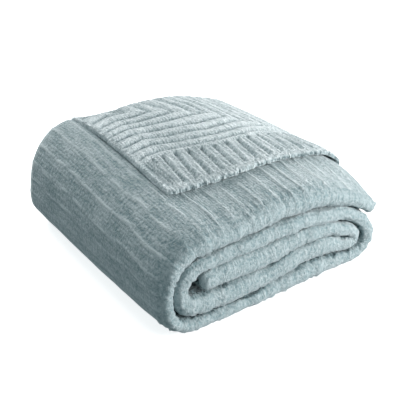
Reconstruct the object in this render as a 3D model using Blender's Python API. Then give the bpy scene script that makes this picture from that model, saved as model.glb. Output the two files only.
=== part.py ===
"""Chenille throw blanket, folded lengthwise in four, rolled flat, one corner turned back over the top.

The throw is one panel of knitted cloth, 1.27 m wide and about 1.8 m long, so the model is one closed
solid. Its middle surface is a product of two curves:
  - the roll: a flat spiral in the XZ plane, made of five runs joined by four folds;
  - the stack: the four layers of the lengthwise fold, drawn along Y and across the roll's thickness.
A point of it is roll(s) + offset * normal(s), at a Y that the stack gives. The turned-back part carries on
from the outermost layer at the roll's outer end. A Solidify modifier gives the cloth its thickness.

X runs along the layered end, Y from that end to the back, Z up. The origin is the centre of the base.
"""
from collections import namedtuple

import bpy
import numpy as np

MM = 0.001

# ---- Driving dimensions, metres ----
DEPTH = 0.3175             # folded depth: the 1.27 m width in four
CLOTH = 0.0038             # thickness of the chenille cloth, pile pressed
AIR = 0.0006               # space between two edges of cloth that close on each other
TURNED_AIR = 0.0012        # space under the turned-back part
SPRING = 0.0010            # how much higher it stands at the turn, where the cloth springs open
SPRING_REACH = 0.030       # how far from the turn that is felt
OUTER_STEP = 0.002         # how far the outermost layer stops short of the back fold
INNER_STEP = 0.008         # the same for the innermost layer
END_STEP = 0.013           # how far the two inner layers stop short of the roll's ends
FRONT_POWER = 0.80         # shape of the front fold: 1 is round, less is squarer
END_ROUND = 0.006          # length over which the roll's ends close to a round lip

# ---- How the bundle changes away from its layered end ----
RISE = 0.047               # extra height at mid depth, as a share of the height
FALL = 0.057               # height lost at the back, as a share of the height
BACK_DROP = 0.036          # more height lost close to the back, where the layers round down
BACK_POWER = 7             # how close to the back: the power of the depth
SWELL = 0.021              # extra width at mid depth, as a share of the width
TAPER = 0.012              # width lost at the back, as a share of the width
LEAN = 0.003               # sideways drift from the layered end to the back
CROWN_HEIGHT = 0.13        # height at which the extra height is fully reached
LEFT_END = 0.145           # x of the left wall
TUCK = 0.016               # how far the left wall's top leans in at the back
SPREAD = 0.008             # how far its foot spreads there
UNDERCUT = 0.004           # how far the foot of the layered end stands back
UNDERCUT_HEIGHT = 0.014    # height over which it does
UNDERCUT_REACH = 0.015     # and how quickly that fades towards the back
# Where the top stands fuller: x and depth of the place, how far it spreads, and how much it rises
Lift = namedtuple("Lift", "name x depth wide deep rise")
LIFTS = (
    Lift("left shoulder, at the back", -0.110, 1.0, 0.060, 0.5, 0.017),
    Lift("right shoulder, by the hem", 0.140, 0.25, 0.045, 0.16, 0.009),
    Lift("right end, at the front", 0.152, 0.0, 0.052, 0.12, -0.018),
    Lift("right half, at the back", 0.120, 0.8, 0.070, 0.4, -0.004),
)

# ---- The roll, inner end first. Columns: x, z and thickness of the four layers, millimetres ----
Station = namedtuple("Station", "x z thick")
Run = namedtuple("Run", "name stations")
RUNS = (
    Run("core", (Station(-98, 61.5, 21), Station(-60, 61.3, 29), Station(-12, 61.3, 29),
                 Station(36, 67.1, 21.3), Station(77, 65.6, 17.4), Station(100, 59, 17))),
    Run("under the core", (Station(103, 37, 19), Station(77, 43, 24.6), Station(38, 42, 25.8),
                           Station(-5, 34.5, 24.3), Station(-48, 32.2, 26.3), Station(-85, 32, 26))),
    Run("over the core", (Station(-88, 84, 17.4), Station(-43, 86, 17.3), Station(0, 88, 19.2),
                          Station(37, 88.3, 17.6), Station(80, 83.4, 17.2))),
    Run("bottom", (Station(104, 15.6, 17.4), Station(58, 15.2, 25.2), Station(10, 11.3, 23.2),
                   Station(-38, 8.7, 17.8), Station(-96, 8.7, 17.8))),
    Run("top", (Station(-77, 108.2, 27.4), Station(-29, 111, 28.3), Station(10, 113.8, 29),
                Station(58, 111.4, 28), Station(96, 104, 23.2), Station(125, 94.4, 18.8),
                Station(147, 80.2, 18.8))),
)
# ---- The folds between the runs. far_x is the x that each reaches, millimetres, and hang how low ----
Fold = namedtuple("Fold", "name far_x squareness hang thick")
FOLDS = (
    Fold("core turn", 115.5, 2.1, 0.1, 17.2),
    Fold("left turn", -124, 2.4, 0.12, 18.2),
    Fold("right turn", 140.8, 2.2, 0.3, 18.2),
    Fold("left wall", -142.5, 2.6, 0.08, 16),
)

# ---- The turned-back part. Hem line, from the free corner to the right: x and y, millimetres ----
HEM_X = (-90, -50, 0, 50, 100, 150)
HEM_Y = (-76, -82, -88, -86, -84, -79)
# Its free selvedge: at each y, how far it reaches past SELVEDGE_X down the left shoulder, millimetres
SELVEDGE_X = -73
SELVEDGE_Y = (-80, -40, 0, 160)
SELVEDGE_REACH = (14, 13, 12, 15)

# ---- Mesh steps ----
RUN_STEPS = 8
FOLD_STEPS = 9
LIP_STEPS = 3
BACK_STEPS = 5             # across the part of a layer that turns back
FRONT_STEPS = 2            # from the hem line to the front fold
OUTER_FOLD_STEPS = 6
INNER_FOLD_STEPS = 3
LAYER_STEPS = 3
TURN_STEPS = 5             # around the turn-back
TURNED_STEPS = 15          # along the turned-back part

COLOUR = (0.40, 0.50, 0.52, 1.0)
ROUGHNESS = 0.95


def run_points(run, steps, level_end):
    """Points of one run: a Hermite cubic between each two stations, level where a fold joins it."""
    knots = np.array(run.stations, float)
    slopes = np.empty_like(knots)
    slopes[1:-1] = (knots[2:] - knots[:-2]) / 2
    slopes[0] = knots[1] - knots[0]
    slopes[-1] = knots[-1] - knots[-2]
    slopes[0, 1] = 0
    if level_end:
        slopes[-1, 1] = 0
    place = np.linspace(0, len(knots) - 1, steps + 1)
    piece = np.minimum(place.astype(int), len(knots) - 2)
    t = (place - piece)[:, None]
    return ((2*t**3 - 3*t**2 + 1) * knots[piece] + (t**3 - 2*t**2 + t) * slopes[piece]
            + (3*t**2 - 2*t**3) * knots[piece + 1] + (t**3 - t**2) * slopes[piece + 1])


def fold_points(fold, start, end, steps):
    """Points of one fold: half a superellipse between two runs' ends. It reaches to far_x and hangs a
    little: turning the height ahead of the reach puts the widest place below the middle."""
    turn = np.linspace(0, np.pi, steps + 1)
    power = 2 / fold.squareness
    share = (1 - np.cos(turn)) / 2
    root = start[0] + (end[0] - start[0]) * share
    reach = np.maximum(np.sin(turn), 0) ** power
    middle, half = (start[1] + end[1]) / 2, (start[1] - end[1]) / 2
    lower = turn + fold.hang * np.sin(turn) * np.sign(half)
    height = np.sign(np.cos(lower)) * np.abs(np.cos(lower)) ** power
    thick = np.interp(share, (0, 0.5, 1), (start[2], fold.thick, end[2]))
    return np.stack([root + (fold.far_x - root) * reach, middle + half * height, thick], axis=1)


def roll_line():
    """The whole spiral: x, z and thickness in metres at each point, inner end first."""
    line = run_points(RUNS[0], RUN_STEPS, level_end=True)
    for fold, run in zip(FOLDS, RUNS[1:]):
        after = run_points(run, RUN_STEPS, level_end=run is not RUNS[-1])
        turn = fold_points(fold, line[-1], after[0], FOLD_STEPS)
        line = np.concatenate([line, turn[1:], after[1:]])
    return line * MM


def distance_along(line):
    """Distance from the inner end to each point of a line."""
    return np.concatenate([[0], np.cumsum(np.hypot(*np.diff(line[:, :2], axis=0).T))])


class Roll:
    """The spiral, read at any distance along it. Past its outer end it runs on straight."""

    def __init__(self):
        self.line = roll_line()
        self.distance = distance_along(self.line)
        self.length = self.distance[-1]
        heading = np.gradient(self.line[:, :2], self.distance, axis=0)
        heading /= np.linalg.norm(heading, axis=1)[:, None]
        self.heading = heading
        self.normal = np.stack([-heading[:, 1], heading[:, 0]], axis=1)

    def read(self, values, s):
        return np.stack([np.interp(s, self.distance, column) for column in values.T], axis=-1)

    def thick(self, s):
        return np.interp(s, self.distance, self.line[:, 2])

    def place(self, s, offset):
        """x and z of a point at distance s, offset out along the normal."""
        past = np.maximum(s - self.length, 0)[..., None]
        return (self.read(self.line[:, :2], s) + past * self.heading[-1]
                + offset[..., None] * self.read(self.normal, s))


def lip(distance_to_end, closed):
    """Share of the full offset near an end of the roll: an ellipse that closes to the share closed."""
    q = np.clip(1 - distance_to_end / END_ROUND, 0, 1)
    return np.sqrt(1 - q**2 * (1 - closed**2))


def stack(pitch, share):
    """Y and offset of the four layers, from the outermost one's back edge to the innermost one's."""
    front, back = (CLOTH - DEPTH) / 2, (DEPTH - CLOTH) / 2
    centre = front + 1.5 * pitch
    hinge = HEM_Y[-1] * MM
    outer = np.linspace(np.pi / 2, -np.pi / 2, OUTER_FOLD_STEPS + 1)[1:]
    inner = np.linspace(-np.pi / 2, np.pi / 2, INNER_FOLD_STEPS + 1)[1:]
    wide, narrow = 1.5 * pitch * share, 0.5 * pitch
    y = np.concatenate([
        np.linspace(back - OUTER_STEP, hinge, BACK_STEPS + 1),
        np.linspace(hinge, centre, FRONT_STEPS + 1)[1:],
        centre - wide * np.maximum(np.cos(outer), 0) ** FRONT_POWER,
        np.linspace(centre, back - narrow, LAYER_STEPS + 1)[1:],
        back - narrow + narrow * np.cos(inner),
        np.linspace(back - narrow, centre, LAYER_STEPS + 1)[1:],
        centre - narrow * np.cos(inner),
        np.linspace(centre, back - INNER_STEP, LAYER_STEPS + 1)[1:],
    ])
    offset = np.concatenate([
        np.full(BACK_STEPS + FRONT_STEPS + 1, wide),
        wide * np.sign(outer) * np.abs(np.sin(outer)) ** FRONT_POWER,
        np.full(LAYER_STEPS, -wide),
        -pitch + narrow * np.sin(inner),
        np.full(LAYER_STEPS, -narrow),
        narrow * np.sin(inner),
        np.full(LAYER_STEPS, narrow),
    ])
    return y, offset


def settle(points):
    """Rest the roll on its base, then swell it at mid depth, lower its back and raise its shoulders."""
    points[..., 2] = np.maximum(points[..., 2], CLOTH / 2)
    depth = np.clip(points[..., 1] / DEPTH + 0.5, 0, 1)
    bulge = 4 * depth * (1 - depth)
    height = points[..., 2] - CLOTH / 2
    crown = RISE * bulge * np.clip(height / CROWN_HEIGHT, 0, 1)
    rise = height * (crown - FALL * depth - BACK_DROP * depth**BACK_POWER)
    for lift in LIFTS:
        far = ((points[..., 0] - lift.x) / lift.wide)**2 + ((depth - lift.depth) / lift.deep)**2
        rise += lift.rise * np.exp(-far) * height / CROWN_HEIGHT
    points[..., 2] += rise
    at_left = np.clip(-points[..., 0] / LEFT_END, 0, 1) * depth
    points[..., 0] = points[..., 0] * (1 + SWELL * bulge - TAPER * depth) + LEAN * depth
    up = np.clip(height / CROWN_HEIGHT, 0, 1)
    points[..., 0] += at_left * (TUCK * up * (2 - up) - SPREAD)
    at_front = np.exp(-(points[..., 1] + DEPTH / 2) / UNDERCUT_REACH)
    points[..., 1] += UNDERCUT * at_front * np.clip(1 - height / UNDERCUT_HEIGHT, 0, 1)**2
    return points


def roll_surface(roll):
    """Grid of the rolled layers: one row for each distance along the roll, one column of the stack."""
    ends = np.linspace(0, END_ROUND, LIP_STEPS + 1)
    inside = roll.distance[(roll.distance > END_STEP) & (roll.distance < roll.length - END_STEP)]
    rows = np.concatenate([ends, [END_STEP], inside, [roll.length - END_STEP], roll.length - ends[::-1]])
    pitch = (roll.thick(rows) - CLOTH) / 3
    closed = (CLOTH + AIR) / (3 * pitch)
    share = lip(np.minimum(rows, roll.length - rows), closed)
    y, offset = np.stack([stack(p, c) for p, c in zip(pitch, share)], axis=1)
    s = np.repeat(rows[:, None], y.shape[1], axis=1)
    xz = roll.place(s, offset)
    return rows, np.stack([xz[..., 0], y, xz[..., 1]], axis=-1)


def turned_surface(roll, hinge_y):
    """Grid of the turned-back part, from the roll's outer end over the top to the free selvedge."""
    back = hinge_y[0]
    lie = 1.5 * (roll.thick(roll.length) - CLOTH) / 3 + CLOTH + TURNED_AIR + SPRING
    start = (CLOTH + AIR) / 2
    radius = (lie - start) / 2
    turn = np.linspace(-np.pi / 2, np.pi / 2, TURN_STEPS + 1)[1:]
    edge = np.interp(SELVEDGE_X * MM, roll.line[-RUN_STEPS - 1:, 0], roll.distance[-RUN_STEPS - 1:])
    reach = np.interp(hinge_y, np.array(SELVEDGE_Y) * MM, np.array(SELVEDGE_REACH) * MM)
    along = np.linspace(0, 1, TURNED_STEPS + 1)[1:, None]
    s = roll.length + (edge - reach - roll.length) * along
    s = np.concatenate([np.repeat(roll.length + radius * np.cos(turn)[:, None], len(hinge_y), 1), s])
    sprung = SPRING * np.exp(-(np.maximum(roll.length - s, 0) / SPRING_REACH)**2)
    lying = 1.5 * (roll.thick(s) - CLOTH) / 3 + CLOTH + TURNED_AIR + sprung
    offset = lying.copy()
    offset[:TURN_STEPS] = (start + radius + radius * np.sin(turn))[:, None]
    xz = roll.place(s, offset)
    hem = np.interp(xz[:, -1, 0], np.array(HEM_X) * MM, np.array(HEM_Y) * MM)
    width = (hinge_y - back) / (hinge_y[-1] - back)
    y = back + (hem[:, None] - back) * width
    return np.stack([xz[..., 0], y, xz[..., 1]], axis=-1)


def throw_mesh():
    """Vertices and quads of the throw's middle surface."""
    roll = Roll()
    rows, rolled = roll_surface(roll)
    turned = turned_surface(roll, rolled[-1, :BACK_STEPS + 1, 1])
    row_count, column_count = rolled.shape[:2]
    number = np.arange(row_count * column_count).reshape(row_count, column_count)
    hinge = number[-1:, :BACK_STEPS + 1]
    flap = np.concatenate([hinge, number.size + np.arange(turned[..., 0].size).reshape(turned.shape[:2])])

    def quads(grid):
        return np.stack([grid[:-1, :-1], grid[1:, :-1], grid[1:, 1:], grid[:-1, 1:]], axis=-1)

    cells = quads(number)
    first_inner = BACK_STEPS + FRONT_STEPS + OUTER_FOLD_STEPS + LAYER_STEPS
    middle = (rows[:-1] + rows[1:]) / 2
    near_end = np.minimum(middle, roll.length - middle) < END_STEP
    keep = np.ones(cells.shape[:2], bool)
    keep[near_end, first_inner:] = False
    faces = np.concatenate([cells[keep], quads(flap).reshape(-1, 4)])
    points = settle(np.concatenate([rolled.reshape(-1, 3), turned.reshape(-1, 3)]))
    used, faces = np.unique(faces, return_inverse=True)
    points = points[used]
    points[:, :2] -= (points[:, :2].min(axis=0) + points[:, :2].max(axis=0)) / 2
    return points, faces.reshape(-1, 4)


def chenille():
    """Pale grey-blue chenille, quite matt."""
    material = bpy.data.materials.new("chenille")
    material.use_nodes = True
    shader = material.node_tree.nodes["Principled BSDF"]
    shader.inputs["Base Color"].default_value = COLOUR
    shader.inputs["Roughness"].default_value = ROUGHNESS
    shader.inputs["Metallic"].default_value = 0.0
    return material


def build_throw():
    """The throw as one object: middle surface, thickened evenly to both sides."""
    points, faces = throw_mesh()
    mesh = bpy.data.meshes.new("throw")
    mesh.from_pydata(points.tolist(), [], faces.tolist())
    mesh.shade_smooth()
    mesh.materials.append(chenille())
    throw = bpy.data.objects.new("throw", mesh)
    bpy.context.scene.collection.objects.link(throw)
    body = throw.modifiers.new("cloth thickness", "SOLIDIFY")
    body.thickness = CLOTH
    body.offset = 0
    body.use_even_offset = True
    return throw


for old in list(bpy.data.objects):
    bpy.data.objects.remove(old)
build_throw()
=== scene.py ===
# %% [markdown]
# # A chenille throw, folded in four and rolled flat
# The throw is one knitted panel. It is folded lengthwise into four layers, the long strip is rolled
# into a flat bundle, and the last layer is turned back over the top, so that its ribbed face shows.
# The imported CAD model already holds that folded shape. This file gives it the looks: the same folds
# at a finer step, the raised ribs and border of the turned-back part, the faint ridges of the smooth
# side, and the chenille pile.

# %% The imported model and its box
from collections import namedtuple

import bpy
import numpy as np
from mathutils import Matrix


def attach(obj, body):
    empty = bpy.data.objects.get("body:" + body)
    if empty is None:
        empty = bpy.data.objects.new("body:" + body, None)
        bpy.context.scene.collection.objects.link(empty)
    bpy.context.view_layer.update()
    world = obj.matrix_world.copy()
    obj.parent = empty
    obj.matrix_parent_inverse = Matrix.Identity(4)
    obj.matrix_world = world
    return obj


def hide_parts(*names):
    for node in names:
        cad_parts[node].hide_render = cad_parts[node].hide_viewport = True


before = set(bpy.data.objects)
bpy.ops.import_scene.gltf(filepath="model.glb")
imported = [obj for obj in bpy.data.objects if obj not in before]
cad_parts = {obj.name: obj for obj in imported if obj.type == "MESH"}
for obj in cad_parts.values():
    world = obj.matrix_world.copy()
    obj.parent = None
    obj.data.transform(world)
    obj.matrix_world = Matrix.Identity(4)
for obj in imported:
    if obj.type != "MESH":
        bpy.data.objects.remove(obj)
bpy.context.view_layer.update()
MM = 0.001


def add(name, data):
    """A new object of this mesh, lamp or camera, put in the scene."""
    made = bpy.data.objects.new(name, data)
    bpy.context.scene.collection.objects.link(made)
    return made


# %% [markdown]
# ## The camera
# A camera is easiest to place by what it looks at. It stands on a line through the middle of the
# bundle, given by a compass angle and a height angle, a little over a metre away. A small lens shift
# frames the bundle without turning the camera, so the perspective stays the same.

# %% The camera
TARGET = np.array([-0.0015, 0.0001, 0.07])
COMPASS = np.radians(34.94)  # from the Y axis towards the X axis
HEIGHT_ANGLE = np.radians(29.85)
DISTANCE = 1.203

view = np.array([np.sin(COMPASS) * np.cos(HEIGHT_ANGLE),
                 np.cos(COMPASS) * np.cos(HEIGHT_ANGLE),
                 -np.sin(HEIGHT_ANGLE)])
lens = bpy.data.cameras.new("camera")
lens.lens = 89.46
lens.sensor_width = 36
lens.shift_x = 0.00465
lens.shift_y = -0.0282
camera = add("camera", lens)
camera.location = TARGET - DISTANCE * view
camera.rotation_euler = (np.pi / 2 - HEIGHT_ANGLE, 0, -COMPASS)
bpy.context.scene.camera = camera
print("camera at", np.round(camera.location, 3).tolist())

# %% [markdown]
# ## The roll as a curve
# Seen from its layered end, the bundle is a flat spiral: five nearly level runs joined by four folds.
# A run is a smooth curve through a few listed stations, and a fold is half a superellipse, which
# is a rounded shape between an ellipse and a box. Each point also carries the thickness of the four
# layers there. The numbers are the CAD model's, so the cloth follows the same folds. Only the core turn
# and the right turn are drawn a little fuller, because a fine surface needs less room than a coarse one.

# %% The roll: sizes in metres, stations and folds in millimetres
DEPTH = 0.3175  # folded depth: the 1.27 m width in four
CLOTH = 0.0038  # thickness of the cloth, pile pressed
AIR = 0.0006  # space between two edges of cloth that close on each other
TURNED_AIR = 0.0012  # space under the turned-back part
SPRING = 0.0010  # how much higher it stands at the turn, where the cloth springs open
SPRING_REACH = 0.030  # and how far from the turn
END_STEP = 0.013  # how far the two inner layers stop short of the roll's ends
FRONT_POWER = 0.80  # shape of the front fold: 1 is round, less is squarer
END_ROUND = 0.006  # length over which the roll's ends close to a round lip
CURVE_STEPS = 160  # points on each run and fold of the spiral

Run = namedtuple("Run", "name stations")  # a station is x, z and thickness
Fold = namedtuple("Fold", "name far_x squareness hang thick")
RUNS = (
    Run("core", ((-98, 61.5, 21), (-60, 61.3, 29), (-12, 61.3, 29), (36, 67.1, 21.3), (77, 65.6, 17.4),
                 (100, 59, 17))),
    Run("under the core", ((103, 37, 19), (77, 43, 24.6), (38, 42, 25.8), (-5, 34.5, 24.3),
                           (-48, 32.2, 26.3), (-85, 32, 26))),
    Run("over the core", ((-88, 84, 17.4), (-43, 86, 17.3), (0, 88, 19.2), (37, 88.3, 17.6),
                          (80, 83.4, 17.2))),
    Run("bottom", ((104, 15.6, 17.4), (58, 15.2, 25.2), (10, 11.3, 23.2), (-38, 8.7, 17.8),
                   (-96, 8.7, 17.8))),
    Run("top", ((-77, 108.2, 27.4), (-29, 111, 28.3), (10, 113.8, 29), (58, 111.4, 28), (96, 104, 23.2),
                (125, 94.4, 18.8), (147, 80.2, 18.8))),
)
FOLDS = (
    Fold("core turn", 119.5, 2.1, 0.4, 17.2),
    Fold("left turn", -124, 2.4, 0.12, 18.2),
    Fold("right turn", 140.8, 2.2, 0.3, 19.8),
    Fold("left wall", -142.5, 2.6, 0.08, 16),
)


def run_points(run, level_end):
    """Points of one run: a Hermite cubic between each two stations, level where a fold joins it."""
    knots = np.array(run.stations, float)
    slopes = np.empty_like(knots)
    slopes[1:-1] = (knots[2:] - knots[:-2]) / 2
    slopes[0] = knots[1] - knots[0]
    slopes[-1] = knots[-1] - knots[-2]
    slopes[0, 1] = 0
    if level_end:
        slopes[-1, 1] = 0
    place = np.linspace(0, len(knots) - 1, CURVE_STEPS + 1)
    piece = np.minimum(place.astype(int), len(knots) - 2)
    t = (place - piece)[:, None]
    return ((2*t**3 - 3*t**2 + 1) * knots[piece] + (t**3 - 2*t**2 + t) * slopes[piece]
            + (3*t**2 - 2*t**3) * knots[piece + 1] + (t**3 - t**2) * slopes[piece + 1])


def fold_points(fold, start, end):
    """Points of one fold: half a superellipse between two runs' ends. It reaches to far_x and hangs a
    little: turning the height ahead of the reach puts the widest place below the middle."""
    turn = np.linspace(0, np.pi, CURVE_STEPS + 1)
    power = 2 / fold.squareness
    share = (1 - np.cos(turn)) / 2
    root = start[0] + (end[0] - start[0]) * share
    reach = np.maximum(np.sin(turn), 0) ** power
    middle, half = (start[1] + end[1]) / 2, (start[1] - end[1]) / 2
    lower = turn + fold.hang * np.sin(turn) * np.sign(half)
    height = np.sign(np.cos(lower)) * np.abs(np.cos(lower)) ** power
    thick = np.interp(share, (0, 0.5, 1), (start[2], fold.thick, end[2]))
    return np.stack([root + (fold.far_x - root) * reach, middle + half * height, thick], axis=1)


print("runs:", [run.name for run in RUNS], "folds:", [fold.name for fold in FOLDS])


# %% [markdown]
# A point of the bundle is a place on that spiral plus a step along its normal, which points outwards.
# The spiral is resampled evenly by distance, so that "17 mm further along the cloth" means the same
# everywhere, and patterns on the cloth keep their scale round the folds.

# %% The roll, read by distance
SPIRAL_STEP = 0.0005
SMOOTH_OVER = 9  # points over which a heading is averaged, so that folds start softly


def spiral():
    """The whole curve, inner end first, at even distances: x, z and thickness in metres."""
    line = run_points(RUNS[0], level_end=True)
    for fold, run in zip(FOLDS, RUNS[1:]):
        after = run_points(run, level_end=run is not RUNS[-1])
        line = np.concatenate([line, fold_points(fold, line[-1], after[0])[1:], after[1:]])
    line = line * MM
    passed = np.concatenate([[0], np.cumsum(np.hypot(*np.diff(line[:, :2], axis=0).T))])
    even = np.linspace(0, passed[-1], int(passed[-1] / SPIRAL_STEP))
    return np.stack([np.interp(even, passed, column) for column in line.T], axis=1), even


class Roll:
    """The spiral, read at any distance along it. Past its outer end it runs on straight."""

    def __init__(self):
        self.line, self.distance = spiral()
        self.length = self.distance[-1]
        heading = np.gradient(self.line[:, :2], self.distance, axis=0)
        kernel = np.ones(SMOOTH_OVER) / SMOOTH_OVER
        padded = np.pad(heading, ((SMOOTH_OVER // 2, SMOOTH_OVER // 2), (0, 0)), mode="edge")
        heading = np.stack([np.convolve(column, kernel, mode="valid") for column in padded.T], axis=1)
        heading /= np.linalg.norm(heading, axis=1)[:, None]
        self.heading = heading
        self.normal = np.stack([-heading[:, 1], heading[:, 0]], axis=1)

    def read(self, values, s):
        return np.stack([np.interp(s, self.distance, column) for column in values.T], axis=-1)

    def thick(self, s):
        return np.interp(s, self.distance, self.line[:, 2])

    def place(self, s, offset):
        """x and z of a point at distance s, offset out along the normal."""
        past = np.maximum(s - self.length, 0)[..., None]
        return (self.read(self.line[:, :2], s) + past * self.heading[-1]
                + offset[..., None] * self.read(self.normal, s))


roll = Roll()
print("length of the spiral:", round(roll.length, 3), "m")

# %% [markdown]
# ## How the bundle has settled
# Soft layers don't lie like boards. The bundle stands fullest in the middle of its depth, its back is
# a little lower and narrower, and its shoulders are plumper. This step bends every point the same way
# as the CAD model does. It also centres the bundle on the same origin.

# %% Settling
RISE, FALL = 0.047, 0.057  # extra height at mid depth and height lost at the back, as shares
BACK_DROP = 0.036  # more height lost close to the back
BACK_POWER = 7  # and how close: the power of the depth
SWELL, TAPER = 0.021, 0.012  # extra width at mid depth and width lost at the back, as shares
LEAN = 0.003  # sideways drift from the layered end to the back
CROWN_HEIGHT = 0.13  # height at which the extra height is fully reached
LEFT_END = 0.145  # x of the left wall
TUCK, SPREAD = 0.016, 0.008  # how far its top leans in and its foot spreads at the back
UNDERCUT = 0.004  # how far the foot of the layered end stands back
UNDERCUT_HEIGHT = 0.014  # height over which it does
UNDERCUT_REACH = 0.015  # and how quickly that fades towards the back
CENTRE = np.array([0.00580, -0.00014])
Lift = namedtuple("Lift", "name x depth wide deep rise")
LIFTS = (
    Lift("left shoulder, at the back", -0.110, 1.0, 0.060, 0.5, 0.017),
    Lift("right shoulder, by the hem", 0.140, 0.25, 0.045, 0.16, 0.009),
    Lift("right end, at the front", 0.152, 0.0, 0.052, 0.12, -0.018),
    Lift("right half, at the back", 0.120, 0.8, 0.070, 0.4, -0.004),
)


def settle(points):
    """Keep the cloth's middle above the ground, then raise and swell it by smooth factors of its place."""
    points = points.copy()
    points[..., 2] = np.maximum(points[..., 2], CLOTH / 2)
    depth = np.clip(points[..., 1] / DEPTH + 0.5, 0, 1)
    bulge = 4 * depth * (1 - depth)
    height = points[..., 2] - CLOTH / 2
    up = np.clip(height / CROWN_HEIGHT, 0, 1)
    rise = height * (RISE * bulge * up - FALL * depth - BACK_DROP * depth**BACK_POWER)
    for lift in LIFTS:
        far = ((points[..., 0] - lift.x) / lift.wide)**2 + ((depth - lift.depth) / lift.deep)**2
        rise += lift.rise * np.exp(-far) * height / CROWN_HEIGHT
    points[..., 2] += rise
    at_left = np.clip(-points[..., 0] / LEFT_END, 0, 1) * depth
    points[..., 0] = points[..., 0] * (1 + SWELL * bulge - TAPER * depth) + LEAN * depth
    points[..., 0] += at_left * (TUCK * up * (2 - up) - SPREAD)
    at_front = np.exp(-(points[..., 1] + DEPTH / 2) / UNDERCUT_REACH)
    points[..., 1] += UNDERCUT * at_front * np.clip(1 - height / UNDERCUT_HEIGHT, 0, 1)**2
    points[..., :2] -= CENTRE
    return points


settled = settle(np.array([0.0, 0.0, 0.12]))
print("a point 120 mm up settles at", np.round(settled / MM, 1).tolist(), "mm")

# %% [markdown]
# ## Unevenness
# Nothing on a knitted throw is straight. A cheap way to get smooth, repeatable unevenness is to add a
# few sine waves of different directions and lengths. A fixed seed gives the same waves each time. A
# noise texture does that for a colour, but these waves have to move points.

# %% Smooth unevenness
WAVES = 6
WAVE_SPREAD = (0.7, 1.5)  # the waves' lengths, as shares of the wavelength
CALM = 1.2  # more than 1 keeps most of the sum between -1 and 1


def unevenness(across, along, length, seed):
    """A smooth field, mostly between -1 and 1: the sum of sine waves near the given wavelength."""
    draw = np.random.default_rng(seed)
    angle = draw.uniform(0, 2 * np.pi, WAVES)
    count = 2 * np.pi / (length * draw.uniform(*WAVE_SPREAD, WAVES))
    start = draw.uniform(0, 2 * np.pi, WAVES)
    total = 0
    for turn, rate, phase in zip(angle, count, start):
        total = total + np.sin(rate * (np.cos(turn) * across + np.sin(turn) * along) + phase)
    return total / np.sqrt(WAVES * CALM)


class Wave(namedtuple("Wave", "size length seed")):
    """Unevenness of a given size: size times the field of that wavelength."""

    def at(self, across, along=0):
        return self.size * unevenness(across, along, self.length, self.seed)


def bump_at(distance, width):
    """A bell: one at distance zero, and nearly nothing beyond twice the width."""
    return np.exp(-(distance / width)**2)


def ramp(value, start, end):
    """A soft step from 0 at start to 1 at end."""
    t = np.clip((value - start) / (end - start), 0, 1)
    return t * t * (3 - 2 * t)


sample = unevenness(np.linspace(0, 1, 200), 0, 0.1, seed=1)
print("unevenness along a metre: from", round(sample.min(), 2), "to", round(sample.max(), 2))

# %% [markdown]
# ## From a grid to cloth
# Each piece starts as the middle surface of the cloth on a grid. Cloth has two sides, and only one of
# them carries the ribs, so the two sides are moved apart by different amounts: the face by half the
# cloth plus the relief, the back by half the cloth. The open edges are then closed by a strip of
# faces. A Solidify modifier could give the thickness, but not the relief of one side alone.

# %% A closed cloth mesh
# The crest of plain cloth carries no painted light or shade.
NEUTRAL_SHADING = 0.5  # crest of plain cloth, neither raised nor sunk
TINY = 1e-12  # keeps a division from meeting zero


def vertex_normals(points, faces):
    """Unit normals: the sum of the faces' cross products at each vertex, scaled to length one."""
    a, b, c, d = (points[faces[:, k]] for k in range(4))
    of_face = np.cross(c - a, d - b)
    total = np.zeros_like(points)
    for axis in range(3):
        for corner in range(4):
            total[:, axis] += np.bincount(faces[:, corner], of_face[:, axis], minlength=len(points))
    return total / np.maximum(np.linalg.norm(total, axis=1), TINY)[:, None]


def grid_faces(rows, columns):
    """Quads between the points of a grid, numbered row by row."""
    number = np.arange(rows * columns).reshape(rows, columns)
    return np.stack([number[:-1, :-1], number[:-1, 1:], number[1:, 1:], number[1:, :-1]], axis=-1)


def rim_faces(faces, count):
    """Quads that join the two sides along every edge that only one face uses."""
    edges = np.concatenate([faces[:, [k, (k + 1) % 4]] for k in range(4)])
    key = np.sort(edges, axis=1)
    _, first, uses = np.unique(key[:, 0] * count + key[:, 1], return_index=True, return_counts=True)
    open_edges = edges[first[uses == 1]]
    return np.stack([open_edges[:, 1], open_edges[:, 0], open_edges[:, 0] + count,
                     open_edges[:, 1] + count], axis=1)


def cloth(name, points, faces, flat, face_relief, back_relief, painted_shading):
    """Mesh object of a cloth: face and back moved along the normals, joined at the rim.

    points are the middle surface, flat the place of each on the flat cloth, which becomes the UV map,
    and the reliefs are how far each side stands from the middle. crest is painted light and shade:
    near 1 where the face is raised, near 0 in its valleys and below 0 in a nip. The material pales the
    cloth by it as a painted highlight and darkens it as painted shade.
    """
    count = len(points)
    out = vertex_normals(points, faces)
    face_side = points + out * face_relief[:, None]
    back_side = points - out * back_relief[:, None]
    vertices = np.concatenate([face_side, back_side])
    vertices[:, 2] = np.maximum(vertices[:, 2], 0)
    quads = np.concatenate([faces, faces[:, ::-1] + count, rim_faces(faces, count)])
    mesh = bpy.data.meshes.new(name)
    mesh.from_pydata(vertices.tolist(), [], quads.tolist())
    mesh.shade_smooth()
    uv = mesh.uv_layers.new(name="flat cloth")
    uv.data.foreach_set("uv", np.concatenate([flat, flat])[quads.ravel()].ravel())
    # The crest attribute is painted light and shade for the material; the back side is left plain.
    raised = mesh.attributes.new("painted_shading", "FLOAT", "POINT")
    raised.data.foreach_set("value", np.concatenate([painted_shading, np.full(count, NEUTRAL_SHADING)]))
    print(name, "has", 2 * len(quads), "triangles")
    return add(name, mesh)


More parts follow.
